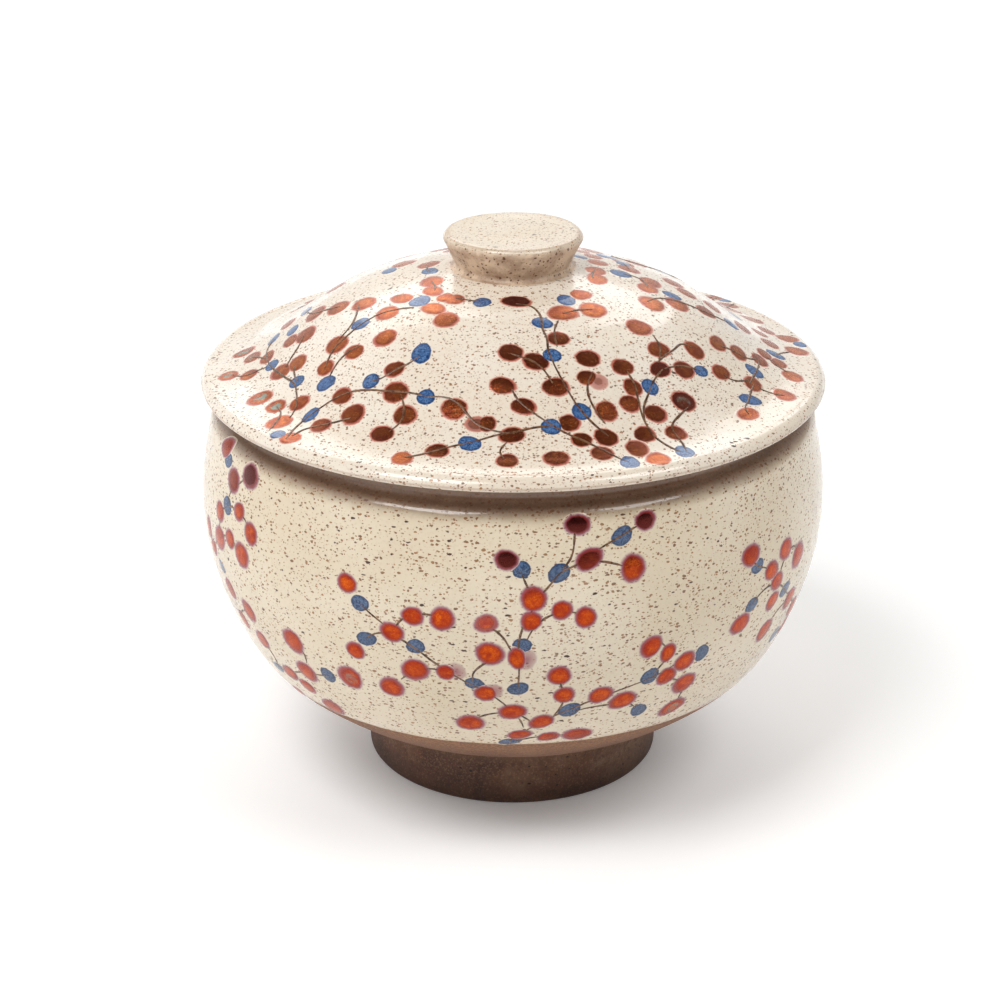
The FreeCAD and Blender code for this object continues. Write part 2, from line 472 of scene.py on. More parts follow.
# --- Painted decoration ---
# Dabs are (azimuth, place, across, along) with an optional tilt in degrees, anticlockwise. Twigs are
# runs of (azimuth, place). Place is the height on the bowl and the radius on the lid; sizes are in mm.
BOWL_BERRIES = [
    # middle spray
    (10, 77.1, 4.8, 4), (-2.1, 71, 4.4, 3.8), (11.7, 70.6, 5.4, 4, 25), (19.2, 67.8, 5, 5.2),
    (2.4, 63.5, 5, 4.8, 35), (2, 59, 4, 4), (7, 60.9, 4, 3.8), (10.9, 59.2, 4, 4.4), (-5.4, 58.4, 4.4, 3.8),
    (-5, 51.9, 5.4, 5), (-0.4, 50.8, 3.4, 5), (1.2, 50.6, 3.6, 4.4), (22, 76.4, 4.2, 3.8),
    # left spray
    (-12.8, 58.7, 4.8, 4.8), (-17.8, 58.7, 4.4, 3.8), (-21.6, 54.6, 4.8, 4.2), (-18.1, 46.4, 5.8, 5, 20),
    (-12.6, 46.9, 3.8, 3.6), (-10.8, 47.2, 3.6, 3.8), (-23.3, 41, 5.2, 5, 20), (-5.9, 42.1, 4.2, 4.2),
    (-4.6, 42.8, 3.8, 3.8), (-1, 37.4, 5.4, 4.4), (-9.2, 33.8, 5.4, 4.8, 15), (4.2, 34.3, 5, 4, 30),
    (0.3, 30.6, 4.8, 3.2, 20), (6, 29.6, 4.6, 3.2, 10), (12, 29.6, 6.2, 4.2),
    # right branch
    (7, 46.4, 4.6, 4.6), (8, 41.4, 4.2, 4.2), (14.8, 40.5, 5, 4.4), (19.4, 37.9, 5.6, 4.8, 20),
    (23.2, 50.6, 4.4, 5.2, -15), (26.8, 48.2, 3.4, 4.4), (30.8, 44.9, 4.8, 4.8, 40),
    (27.6, 42, 4.6, 4.2, 30), (32.4, 38.7, 5.2, 5.4), (32, 32.3, 6.2, 4.4, 15),
    # far right spray
    (44, 63.7, 5.2, 4.6, 15), (50.3, 58.3, 4.8, 4), (54.8, 60.8, 4.8, 4.6), (52.6, 55, 4.6, 3.8),
    (52, 50.6, 4.4, 4, 25), (43, 49.3, 5.4, 4.6, 15), (60, 57.3, 5.8, 5.2, 20), (60.2, 47.5, 5.2, 4.8),
    (52.5, 43.5, 5.4, 4.8, 25), (65.2, 43, 5, 5), (65.4, 38.3, 5, 4),
    # left of the front
    (-30, 63, 4.2, 3.8), (-29.2, 48.4, 4.2, 3.8, 20), (-31.8, 41, 5.6, 5.8), (-44.3, 45.3, 5.4, 6, -10),
    (-43.3, 38, 5.4, 5.2, 40), (-50.6, 34.4, 5.4, 3.8, 20), (-46.1, 32.8, 4.4, 3.8),
    (-41.3, 29, 6, 5.2, 35), (-57.8, 46.3, 5, 5), (-56.3, 40, 5.2, 4.2, 20), (-53.6, 27.6, 5, 3.6, 20),
    # far left spray
    (-66.7, 78, 5.8, 4, 30), (-55.5, 76.2, 5.6, 5.2, 30), (-61.5, 73.3, 5, 5.2, 20),
    (-57.9, 68.2, 4.2, 3.8), (-53.3, 65.3, 4.4, 4.6), (-65.8, 64.8, 4.4, 4.2, 25),
    (-66, 59.2, 6.2, 4.8, 35), (-60.8, 61.2, 4.2, 3.8), (-56.5, 59.6, 5.2, 5.4), (-73.3, 58, 4.6, 4.6),
    (-70.8, 54.9, 4.2, 3.6), (-64.7, 48.2, 5, 4.6), (-63, 41.7, 4.6, 4.2),
]
BOWL_LEAVES = [
    (17.7, 74.1, 4.6, 3.4, 35), (0.3, 69.1, 3.6, 3.2, 20), (6.6, 68.2, 4.6, 3.4, 25), (0.4, 53.8, 3.6, 3.4),
    (-27.4, 59.5, 3.8, 3.4), (-26.7, 51.8, 4.4, 3.2, 20), (-17.6, 52.2, 4, 3.2, 20), (-7.7, 44.6, 3.8, 3),
    (-0.2, 43.5, 4.2, 3.2, 25), (9.4, 37.3, 4.8, 3.6, 30), (-1.6, 28.1, 5, 2.6, 20), (45.9, 60.8, 4, 3, 10),
    (45.3, 52.5, 4.2, 3, 20), (56.4, 51.2, 4.2, 3.2, 25), (34.5, 45.5, 3.4, 4.2), (24, 43.2, 3.8, 4.2, -25),
    (23.6, 34.2, 3.6, 3.8, 30), (60.6, 38.5, 4.8, 4), (-64.8, 76, 4, 3.2, 20), (-62.6, 67.6, 4, 3.8),
    (-67, 52.2, 3.6, 2.8), (-55.3, 33.4, 4.8, 2.6, 15), (-37.3, 39.5, 3.6, 4),
]
BOWL_TWIGS = [
    [(-0.2, 43.5), (0, 47), (-0.1, 52), (0.4, 57), (2, 61), (3.4, 64), (5, 66), (6.8, 68.3), (9, 69.4),
     (12, 71.3), (15.5, 73.2), (18.5, 74.6), (21, 75.8)],
    [(7.2, 69), (8.6, 71), (9.2, 73.4), (9.4, 77)],
    [(9, 69.3), (12, 70), (15, 69.5), (17.8, 68.4)],
    [(2.4, 63), (1.3, 65.8), (0.2, 68.8)],
    [(1.3, 55), (2.2, 57.2), (4, 59.3), (6.4, 60.4), (10, 60.2)],
    [(-5.2, 58), (-3.6, 56.6), (-2.4, 55), (-1.5, 53), (-0.3, 51)],
    [(-27.4, 59.5), (-25.4, 57.6), (-23, 55.8), (-21, 53.9), (-18, 51.9), (-15, 49.3), (-12, 47),
     (-9.5, 45), (-6.5, 43.2), (-4, 41), (-1.5, 38.2), (1, 35.8), (2.6, 34.2)],
    [(-26.7, 52), (-25, 53.4), (-22.8, 54.2)],
    [(-21.2, 55.4), (-20, 57.4), (-17.6, 59), (-15.2, 59.4), (-12.6, 59)],
    [(-11, 46.8), (-14, 47.3), (-16.8, 47), (-19.2, 45.4), (-21, 43.6)],
    [(-7.9, 44.8), (-7.9, 46.8), (-6.8, 48.6), (-5, 50), (-2.8, 50.4)],
    [(-1, 37.2), (-3.6, 37), (-6, 36.3), (-8.6, 34.6)],
    [(0, 35.6), (0.6, 34.2), (1, 32.8)],
    [(-1.7, 27.4), (-1.4, 28.8), (0.3, 30.6), (2.2, 32.4), (4.5, 34.2), (7, 36), (9.4, 37.3), (12, 38.6),
     (15, 39.8), (18.5, 41), (22, 42), (25, 42.9), (28, 44.2), (30.6, 45.6)],
    [(-1.2, 28), (1.2, 29), (3.6, 29.6), (6.4, 29.8), (9.5, 29.8), (12.4, 29.8)],
    [(9.8, 36.5), (12, 37.1), (15, 37.4), (18, 37.4), (20.6, 37), (22.6, 35.2)],
    [(6.4, 35.6), (7.6, 38), (8.1, 41), (7.5, 43.6), (6.9, 45.6)],
    [(24.4, 42.8), (25.6, 45), (26.8, 47.6), (26, 49.8), (24.2, 51.8)],
    [(25, 42.4), (27.6, 41.5), (30, 40.4), (31.8, 38.8), (32.6, 36.2), (32.4, 33)],
    [(45.3, 52.7), (47, 54), (49.2, 54.8), (51.4, 54.6), (53, 54)],
    [(53, 54.4), (50.8, 57.4), (48.2, 59.6), (46, 60.8), (44.2, 63)],
    [(53, 54.2), (54.8, 52.8), (56.6, 51), (58.2, 49.6), (60.4, 47.8), (63, 45.6), (65.4, 43)],
    [(52.9, 55.4), (53.8, 57.8), (55.4, 59.6), (57.8, 60.2), (60, 58.6)],
    [(60, 47.6), (57, 47.2), (54.6, 46), (52.4, 43.6)],
    [(60.6, 38.6), (63, 38.5), (66, 38.2)],
    [(-64.8, 76), (-66.6, 77.8)],
    [(-62.6, 67.8), (-62, 70.4), (-60, 72.6), (-58, 74.4), (-55.6, 76)],
    [(-62.2, 70), (-61.6, 72), (-61.8, 74)],
    [(-62.4, 67.6), (-60, 68.1), (-57.6, 68.1), (-55.4, 67.2), (-53.6, 65.4)],
    [(-62.8, 67.2), (-64.2, 66.2), (-65.6, 64.6), (-65.8, 62), (-66.4, 59.4), (-68.6, 57), (-70.8, 55)],
    [(-66, 59.6), (-63.4, 60.8), (-60.8, 61.2), (-58.6, 60.4), (-56.4, 59.4)],
    [(-37.4, 39.3), (-39.5, 38.6), (-42, 38), (-44.6, 37.2), (-47.2, 36), (-49.6, 35), (-52, 34.2),
     (-55, 33.4)],
    [(-42.3, 40.6), (-42.1, 42.8), (-43, 45)],
    [(-55.2, 33.6), (-54.6, 36), (-55, 38.4), (-56.4, 40.2)],
    [(-57.6, 46.2), (-60.4, 45.2), (-63, 43.6), (-65.6, 41.4)],
]

LID_BERRIES = [
    # front
    (1, 19, 6.4, 4), (23, 24.1, 6.4, 5.2, 10), (38.5, 25, 6, 5.2), (42.7, 19.6, 4.4, 4),
    (15.8, 31.5, 4.6, 4), (-1, 34.7, 5.2, 4.6), (6.3, 36.9, 5.4, 4.2, -20), (22.5, 37.1, 5.2, 4.2, -15),
    (31.1, 40, 4.8, 4, -15), (10.9, 42.2, 5.2, 4.4), (-3.2, 41.7, 5.2, 3.9), (19.8, 41, 4, 3.6),
    (22.3, 42, 4, 3.6), (2.1, 45.5, 4.8, 3.9), (30.7, 44.1, 4, 4.2), (27.7, 46.9, 4.2, 4.2),
    (21.3, 47.5, 4.6, 4.6), (12.3, 49, 4.4, 3.8), (32.5, 49.7, 4.6, 4.5), (41.5, 49, 5.2, 5.4, 10),
    (-0.7, 50.9, 5, 3.8), (13.7, 52.5, 4.2, 3.4), (19, 52.6, 4.8, 4.2, -20), (27.5, 53.1, 4.4, 4, -20),
    (34.1, 54.5, 4.4, 4.2, -20), (-1.3, 56.7, 4.4, 3.8), (7.8, 56.3, 5, 4.4), (16.8, 56.1, 4.4, 4.2),
    (24, 56, 4.6, 4.6), (26.3, 60, 5, 4.4), (46.3, 38.7, 5.2, 4.4, -15), (48, 32.8, 5.4, 5.4),
    (41.9, 42.3, 4.8, 4), (48.7, 43.9, 4.8, 4.6, -20),
    # front left
    (-34.8, 20.3, 4.2, 3.8), (-41, 20.6, 3.6, 3.4), (-39.3, 24.7, 5.8, 4), (-29.3, 27, 5.2, 5.2),
    (-45.1, 35.5, 5, 5), (-34, 41, 4.2, 4, 30), (-43.1, 48.2, 4.4, 4.2), (-30.1, 45.1, 5.6, 4.8),
    (-25.1, 48.7, 5, 4.4), (-37, 50.7, 4.8, 5.4), (-14, 46.5, 5.2, 5), (-8.4, 49, 4.4, 3.6),
    (-6.2, 48.8, 3.8, 3.6), (-28, 53.2, 4.8, 4.2), (-42, 55, 4.4, 4, 20), (-44.5, 60.6, 4.2, 4.4),
    (-15, 55.2, 4.6, 3.8, 15), (-21, 58.4, 4.4, 4), (-50.5, 40.2, 4.4, 4),
    # left
    (-66, 17.8, 5.6, 4.6), (-53.3, 20, 5, 3.8), (-61.1, 25.4, 5.2, 3.8, 20), (-56.3, 30, 5, 5),
    (-72.3, 31.4, 5.8, 5), (-79.7, 35.9, 5.6, 5.2), (-86.7, 40.4, 6.4, 4.8), (-58.8, 40.6, 5.4, 5.2),
    (-76, 43, 6, 5), (-79.5, 45.7, 4.8, 3.8), (-54.7, 44.9, 4.2, 4, -20), (-65.7, 46.9, 5, 4.4),
    (-67.8, 49.9, 5.4, 4.6), (-79.7, 50.6, 5.6, 3.4, -10), (-52.3, 52.5, 4.2, 4.4, -10),
    (-63.1, 55.9, 5.2, 5.4), (-56.7, 55.2, 4.4, 4.4), (-50.9, 58, 4.8, 5.4, -15), (-76, 54.8, 4.3, 4),
    (-79.5, 58.4, 4.7, 4.4), (-85.1, 53.3, 5, 4), (-91, 55.5, 4.8, 5), (-94.8, 46.6, 5, 3.8),
    (-102.7, 17.8, 4.8, 4.6), (-114.3, 24.8, 5.2, 5.4), (-107, 38.6, 5.4, 4.8),
    # right
    (71.3, 17.7, 5.6, 4.4), (87.3, 16.8, 5, 4.4), (67.9, 29.6, 6, 5.4), (81.9, 27.4, 5, 4.6),
    (91.3, 27.9, 6, 4.8), (78.3, 33.7, 5.6, 5.4, -20), (58.2, 41.7, 4.8, 4.8), (85.7, 39.3, 5, 4.6, -25),
    (94.8, 35.8, 4.6, 4.8), (70, 43.3, 5.4, 4.2), (73.9, 46.9, 5.6, 4), (59.5, 47, 4.9, 4),
    (65, 52, 5.2, 4.2), (78.2, 50.7, 5.2, 3.9), (83.9, 51.4, 4.6, 3.6), (83, 54.4, 4.8, 3.6),
    (53.5, 56.2, 5.6, 3.8), (67.8, 57.9, 5, 4.8, -15), (78.5, 57.3, 5, 4.8), (94.7, 59, 5, 5.2),
    (94.8, 47.6, 5.4, 4.4), (94.3, 53.3, 4.6, 4.4), (100, 52.3, 3.8, 4), (102.5, 59.2, 4.8, 5),
    (105.7, 55.6, 4.8, 4), (101.7, 33.6, 4.8, 5), (95, 41.2, 4.4, 4.6), (104.3, 24.6, 5, 4.8),
    (108.3, 18.2, 4.4, 4.6),
]
LID_LEAVES = [
    (11.7, 26.5, 4.2, 3.6, -20), (31, 20.1, 3.8, 4), (11.8, 35.5, 3.6, 3.6), (15.6, 47, 3.8, 3.8),
    (8, 49.5, 3.8, 3.8, -15), (35.5, 44.8, 3.6, 3.8), (20.9, 59.8, 3.8, 4.2), (32.2, 59.8, 3.8, 4.2),
    (-18.1, 20, 3.8, 3.4, 15), (-29, 36.6, 4, 5.4, 20), (-38.5, 44.2, 3.6, 3.6), (-21.8, 45, 3.7, 3.6),
    (-46.5, 53.7, 2.8, 4.2), (-9.2, 52.9, 4.4, 3.6, -20), (-47.4, 61, 3, 3.2), (-86.7, 17, 4.6, 3.2, 30),
    (-50.5, 24, 4.4, 4.4), (-59.7, 35, 3.8, 4.2), (-50.3, 47.2, 3.8, 4.2, -15), (-59.3, 49.4, 3.6, 3.4),
    (-73.7, 50.4, 4, 3.2, -20), (-85.7, 45.1, 4.3, 3.2), (-89.3, 49, 5, 2.6, -20), (-95.5, 42.8, 4.4, 3),
    (-104.7, 26.3, 4.6, 3.4, 25), (53.7, 45.3, 3.4, 3), (70.7, 50.7, 3.8, 4.4), (58.8, 54, 5.2, 3.4, -45),
    (92.5, 21.9, 4.4, 4.6, -20), (84.5, 32.2, 3.4, 4.2), (89.9, 44.7, 3.8, 4, -30), (87.5, 53.8, 3.6, 4.4),
    (99.3, 61, 3.6, 3), (114.7, 25, 5, 3.6, -20), (120.3, 15.8, 4, 3), (105.7, 48.5, 4.4, 3.6),
]
LID_TWIGS = [
    [(1, 20), (11, 22), (12.2, 25), (11.2, 28), (11.6, 31), (11, 34), (11.4, 37), (12.4, 40), (13.6, 43),
     (15, 46), (17.4, 49.5), (19.6, 52.4)],
    [(19, 26.4), (16.4, 28.2), (14.6, 31), (14.2, 33.6)],
    [(-1, 35), (3, 36), (7, 37.6), (10, 41.5)],
    [(-0.6, 42.4), (0.8, 44.2), (4.5, 46.8), (8, 49), (12, 51.5), (16, 54), (18.8, 57), (20.8, 59.5)],
    [(8, 49.3), (4, 49.5), (1, 50.1), (-4, 51), (-9, 52.7), (-12.6, 53.8), (-15, 55), (-18, 56.6),
     (-20.6, 58)],
    [(-22, 45), (-18, 44.5), (-14.4, 45), (-11, 47), (-8, 49), (-3.6, 50.2), (0, 50.6)],
    [(-1.6, 52.4), (-2.8, 54.2), (-2, 56.2)],
    [(22, 40), (19, 42.6), (18.6, 46), (20, 49.8)],
    [(31.6, 41), (31.6, 43.6), (30.6, 46), (29.2, 49.8), (29, 53), (30.2, 56.8), (31.8, 59.8)],
    [(35.5, 44.9), (32.4, 46.8), (30.2, 48.6), (29.2, 50.6)],
    [(42.6, 42.4), (38.6, 43.5), (35.6, 44.8)],
    [(49.5, 35.6), (48, 38), (45.8, 39.5), (42.6, 41.2)],
    [(43, 40.9), (47, 40.2), (52, 39.8), (56.4, 39.7), (58.4, 41)],
    [(43, 42.5), (47, 42.7), (51, 43.8), (53.4, 45.2)],
    [(41.4, 50.2), (37.2, 51.4), (34.2, 53), (33.6, 56.6), (32.6, 59.6)],
    [(23, 24.4), (29, 24), (34, 24.2), (38.5, 24.8)],
    [(-29, 37.6), (-31.2, 39.6), (-33.8, 41.4), (-36, 43.2), (-38.5, 44.3)],
    [(-21.8, 44.8), (-27, 44.6), (-31, 45), (-37, 45.7), (-42, 47.2), (-45, 49.6), (-46.2, 52.2),
     (-46.8, 55.4), (-46.2, 58.4), (-44.8, 61.4)],
    [(-28.4, 45.2), (-26.4, 47), (-25.2, 49.6), (-26.6, 52.4)],
    [(-37, 51.6), (-39.6, 53.2), (-42.2, 55), (-44.4, 57.2), (-44.7, 60)],
    [(-35, 20), (-28, 19.8), (-18.4, 20)],
    [(-48.6, 26.2), (-54, 28), (-57.4, 30.2), (-58.8, 32.6), (-59.2, 35.4), (-58.8, 38.2), (-58.4, 41),
     (-56.8, 43.2), (-54.6, 45.2)],
    [(-72.6, 32.4), (-68, 33.6), (-64, 35.2), (-61.2, 37.6), (-60.2, 40)],
    [(-50.6, 38.8), (-52.4, 41), (-52.4, 43.6), (-51, 46.2)],
    [(-76, 43.4), (-73, 44.8), (-70.4, 46.8), (-68, 48.6)],
    [(-65.6, 47.6), (-62.6, 48.6), (-59.5, 49.3)],
    [(-89, 49), (-85, 50.2), (-80, 50.6), (-74, 50.6), (-68, 50.2), (-63, 49.9), (-59.4, 49.9),
     (-55.4, 51.3), (-52.4, 53), (-50.4, 56)],
    [(-56.6, 55.2), (-53.6, 56), (-51.8, 58), (-50, 61.2)],
    [(-74.4, 51.2), (-75.6, 53), (-76.4, 55.2), (-79, 57.6)],
    [(-80, 35.6), (-83.4, 38), (-86.8, 40.2), (-91, 41.8), (-95.4, 42.8)],
    [(-85, 53.4), (-82, 51.8), (-79.6, 51)],
    [(-66, 18), (-58, 18.4), (-53, 19.6)],
    [(-87, 17.2), (-95, 17.6), (-102.7, 17.8)],
    [(59.5, 47.6), (60.6, 49.3), (63, 50.4), (65.2, 51.2)],
    [(64, 51.6), (69, 51.2), (73, 51), (76, 50.8), (79, 50.6)],
    [(65, 52.2), (61, 53), (57.6, 54), (54.6, 55), (53.6, 56.4)],
    [(65.2, 53.4), (66, 55.4), (67.6, 57.8)],
    [(70, 44), (72.6, 46), (74.4, 48.4), (78, 50.2)],
    [(80, 56.4), (80.8, 54.4), (83, 52)],
    [(68, 28.8), (73, 29.4), (77, 30.6), (80, 32.6), (82.4, 35.4), (83.6, 37.6), (86, 40.6), (88, 42.6),
     (89.6, 44.6)],
    [(70, 17), (79, 16.2), (87.6, 16.6)],
    [(82, 27.4), (87, 27), (91.4, 26), (92.5, 22.4)],
    [(87.6, 54), (91, 55.6), (93.4, 57.6)],
    [(104.3, 24.6), (109.6, 24.8), (114.7, 25)],
]

# Berries that differ: with a greenish heart; dark, a painted reflection of the dark room that their lustre
# faces; or only a thin purple veil
LID_KINDS = {
    "teal": {(-63.1, 55.9): 1, (-56.7, 55.2): 1, (-79.5, 58.4): 1, (-91, 55.5): 1, (-85.1, 53.3): 0.6,
             (41.5, 49): 0.5},
    "dark": {(1, 19): 0.9, (41.5, 49): 0.8, (41.9, 42.3): 0.8, (46.3, 38.7): 0.3, (-29.3, 27): 0.2,
             (30.7, 44.1): 0.5, (27.7, 46.9): 0.5, (32.5, 49.7): 0.5},
    "veil": {(22.3, 42): 0.5, (-8.4, 49): 0.25},
}
# Painted reflection: the front ones are darker than those at the sides, standing for the dark room overhead
# that they mirror
for azimuth, place, *_ in LID_BERRIES:
    if -45 < azimuth < 50 and 28 < place < 57:
        LID_KINDS["dark"].setdefault((azimuth, place), 0.4)
# On the bowl too, the dark berries are painted reflection, of the dark room in front of it
BOWL_KINDS = {
    "teal": {(32, 32.3): 0.7, (-31.8, 41): 0.4},
    "dark": {(10, 77.1): 1, (-2.1, 71): 1, (22, 76.4): 1, (11.7, 70.6): 0.75, (19.2, 67.8): 0.2,
             (-55.5, 76.2): 1, (-61.5, 73.3): 0.6, (-66.7, 78): 0.3, (44, 63.7): 0.2},
    "veil": {(1.2, 50.6): 1, (-10.8, 47.2): 1, (-4.6, 42.8): 0.8, (-5.4, 58.4): 0.12},
}

# A dab is a low lens. Its rings run past its painted edge, at 1, and sink into the glaze.
RINGS = (0.0, 0.3, 0.55, 0.75, 0.88, 0.98, 1.08, 1.18, 1.26)
SIDES = 32
LENS_EDGE = 1.24
SUNK = -0.03
BOTTOM_RINGS = (0.9, 0.5, 0.0)
BOTTOM_DEPTH = -0.07


def dab(surface, spot, height):
    """One brush dab: points, and for each its distance from the dab's middle and from its heart's."""
    azimuth, place, across, along = spot[:4]
    tilt = math.radians(spot[4] if len(spot) > 4 else random.uniform(-12, 12))
    phases = [random.uniform(0, math.tau) for _ in range(3)]
    slip, slip_angle = random.uniform(0.0, 0.12), random.uniform(0, math.tau)
    t = float(surface.along(place))
    radius = float(surface.radius(t))
    angle = np.linspace(0, math.tau, SIDES, endpoint=False)
    egg = 1 + 0.045 * np.cos(angle - phases[0]) + 0.035 * np.cos(2 * angle - phases[1])
    egg += 0.025 * np.cos(3 * angle - phases[2]) + 0.014 * np.cos(7 * angle + phases[0])
    points, rho, core = [], [], []
    for order, ring in enumerate(RINGS + BOTTOM_RINGS):
        u, v = ring * np.cos(angle), ring * np.sin(angle)
        x, y = u * egg * across / 2, v * egg * along / 2
        right = x * math.cos(tilt) - y * math.sin(tilt)
        up = x * math.sin(tilt) + y * math.cos(tilt)
        depth = height * (1 - (ring / LENS_EDGE) ** 2) if ring < LENS_EDGE else SUNK
        if order >= len(RINGS):
            depth = BOTTOM_DEPTH
        heart = np.hypot(u - slip * math.cos(slip_angle), v - slip * math.sin(slip_angle))
        if ring == 0:
            right, up, heart = right[:1], up[:1], heart[:1]
        points.append(surface.lifted(math.radians(azimuth) + right / radius, t + surface.upward * up,
                                     np.full(len(right), depth)))
        rho += [ring if order < len(RINGS) else RINGS[-1]] * len(right)
        core += list(heart)
    return np.concatenate(points), rho, core


def dab_faces(start):
    """A fan at the top, strips between the rings, and a fan below, all following the surface."""
    after = [(k + 1) % SIDES for k in range(SIDES)]
    faces = [(start, start + 1 + k, start + 1 + after[k]) for k in range(SIDES)]
    rings = len(RINGS) + len(BOTTOM_RINGS) - 2
    for ring in range(rings - 1):
        a = start + 1 + ring * SIDES
        faces += [(a + k, a + SIDES + k, a + SIDES + after[k], a + after[k]) for k in range(SIDES)]
    last = start + 1 + (rings - 1) * SIDES
    middle = last + SIDES
    faces += [(last + after[k], last + k, middle) for k in range(SIDES)]
    return faces


def paint_dabs(name, surface, spots, height, kinds=None):
    """One mesh with all the dabs of one colour. kinds names sets of places, and each is an attribute."""
    kinds = kinds or {}
    points, faces = [], []
    values = {key: [] for key in ("rho", "core", "tone", *kinds)}
    start = 0
    veils = kinds.get("veil", {})
    for order, spot in enumerate(spots):
        thinned = 1 - 0.7 * veils.get((spot[0], spot[1]), 0.0)
        found, rho, core = dab(surface, spot, height * thinned + 0.002 * (order % 5))
        points.append(found)
        faces += dab_faces(start)
        start += len(found)
        values["rho"] += rho
        values["core"] += core
        values["tone"] += [random.random()] * len(rho)
        for key, places in kinds.items():
            values[key] += [float(places.get((spot[0], spot[1]), 0.0))] * len(rho)
    return new_piece(name, np.concatenate(points), faces, values)


TWIG_SECTION = ((-1.0, -0.03), (-0.8, 0.045), (-0.35, 0.075), (0.35, 0.075), (0.8, 0.045), (1.0, -0.03))
TWIG_HALF_WIDTH = 0.23


def twig(surface, path, raised):
    """One brushed line, a low ridge that follows the surface."""
    azimuths = np.radians([p[0] for p in path])
    along = surface.along(np.array([p[1] for p in path], float))
    radius = float(np.mean(surface.radius(along)))
    curve = Spline(np.c_[azimuths * radius, along])
    rows = curve.rows(0.5)
    ahead = np.gradient(rows, axis=0)
    ahead /= np.linalg.norm(ahead, axis=1)[:, None]
    side = np.c_[-ahead[:, 1], ahead[:, 0]]
    share = np.linspace(0, 1, len(rows))
    phase = random.uniform(0, math.tau)
    width = TWIG_HALF_WIDTH * (1 + 0.18 * np.sin(9 * share + phase) + 0.1 * np.sin(31 * share))
    width *= 0.45 + 0.55 * np.minimum(1, np.minimum(share, 1 - share) * len(rows) / 3)
    local = surface.radius(rows[:, 1]) / radius
    strips = []
    for offset, lift in TWIG_SECTION:
        place = rows + side * (width * offset)[:, None]
        strips.append(surface.lifted((rows[:, 0] + (place - rows)[:, 0] / local) / radius, place[:, 1],
                                     np.full(len(rows), raised * (lift > 0) + lift)))
    return np.stack(strips, 1), share


def paint_twigs(name, surface, paths, raised):
    points, faces, tone = [], [], []
    start = 0
    count = len(TWIG_SECTION)
    for path in paths:
        strip, share = twig(surface, path, raised)
        rows = len(strip)
        for row in range(rows - 1):
            for k in range(count):
                n = (k + 1) % count
                a = start + row * count
                faces.append((a + k, a + n, a + count + n, a + count + k))
        faces.append(tuple(start + k for k in reversed(range(count))))
        faces.append(tuple(start + (rows - 1) * count + k for k in range(count)))
        points.append(strip.reshape(-1, 3))
        tone += [random.random()] * (rows * count)
        start += rows * count
    return new_piece(name, np.concatenate(points), faces, {"tone": tone})


def face_outward(mesh):
    """Turns every face of a closed mesh to look out."""
    work = bmesh.new()
    work.from_mesh(mesh)
    bmesh.ops.recalc_face_normals(work, faces=work.faces)
    work.to_mesh(mesh)
    work.free()


# --- Material nodes ---
# Sockets of the colour Mix node, which go by number because three kinds share each name
MIX_A = 6
MIX_B = 7
MIX_RESULT = 2


class Tree:
    """Short calls for making a material's nodes."""

    def __init__(self, name):
        self.material = bpy.data.materials.new(name)
        self.material.use_nodes = True
        self.tree = self.material.node_tree
        self.tree.nodes.clear()
        self.output = self.tree.nodes.new("ShaderNodeOutputMaterial")

    def node(self, kind, inputs=None, **settings):
        made = self.tree.nodes.new(kind)
        for key, value in settings.items():
            setattr(made, key, value)
        for key, value in (inputs or {}).items():
            self.set(made.inputs[key], value)
        return made

    def set(self, socket, value):
        if isinstance(value, bpy.types.NodeSocket):
            self.tree.links.new(value, socket)
        elif isinstance(value, tuple) and len(value) == 3 and socket.type == "RGBA":
            socket.default_value = value + (1.0,)
        else:
            socket.default_value = value

    def place(self):
        return self.node("ShaderNodeTexCoord").outputs["Object"]

    def attribute(self, name):
        return self.node("ShaderNodeAttribute", attribute_name=name).outputs["Fac"]

    def math(self, operation, a, b=0.0, c=0.0, clamp=False):
        made = self.node("ShaderNodeMath", {0: a, 1: b, 2: c}, operation=operation, use_clamp=clamp)
        return made.outputs[0]

    def times(self, a, b):
        return self.math("MULTIPLY", a, b)

    def plus(self, a, b, clamp=False):
        return self.math("ADD", a, b, clamp=clamp)

    def minus(self, a, b):
        return self.math("SUBTRACT", a, b)

    def rest(self, a):
        """What a share leaves of 1."""
        return self.minus(1.0, a)

    def step(self, value, low, high):
        """0 below low, 1 above high, smooth between."""
        made = self.node("ShaderNodeMapRange", {"Value": value, "From Min": low, "From Max": high},
                         interpolation_type="SMOOTHSTEP")
        return made.outputs["Result"]

    def noise(self, scale, detail=2.0, roughness=0.5, distortion=0.0):
        made = self.node("ShaderNodeTexNoise", {
            "Vector": self.place(), "Scale": scale, "Detail": detail, "Roughness": roughness,
            "Distortion": distortion})
        return made.outputs["Fac"]

    def swing(self, amount, *noise_settings):
        """Noise about 0, as wide as amount."""
        return self.times(self.minus(self.noise(*noise_settings), 0.5), amount)

    def mix(self, share, a, b):
        made = self.node("ShaderNodeMix", {"Factor": share}, data_type="RGBA")
        self.set(made.inputs[MIX_A], a)
        self.set(made.inputs[MIX_B], b)
        return made.outputs[MIX_RESULT]

    def ramp(self, value, stops):
        made = self.node("ShaderNodeValToRGB", {"Fac": value})
        ramp = made.color_ramp
        while len(ramp.elements) < len(stops):
            ramp.elements.new(0.5)
        for element, (position, colour) in zip(ramp.elements, stops):
            element.position = position
            element.color = colour + (1.0,)
        return made.outputs["Color"]

    def bump(self, height, distance, strength=1.0, normal=None):
        inputs = {"Height": height, "Distance": distance, "Strength": strength}
        if normal is not None:
            inputs["Normal"] = normal
        return self.node("ShaderNodeBump", inputs).outputs["Normal"]

    def finish(self, colour, rough, normal=None, **more):
        inputs = {"Base Color": colour, "Roughness": rough, **more}
        if normal is not None:
            inputs["Normal"] = normal
        shader = self.node("ShaderNodeBsdfPrincipled", inputs)
        self.tree.links.new(shader.outputs["BSDF"], self.output.inputs["Surface"])
        return self.material


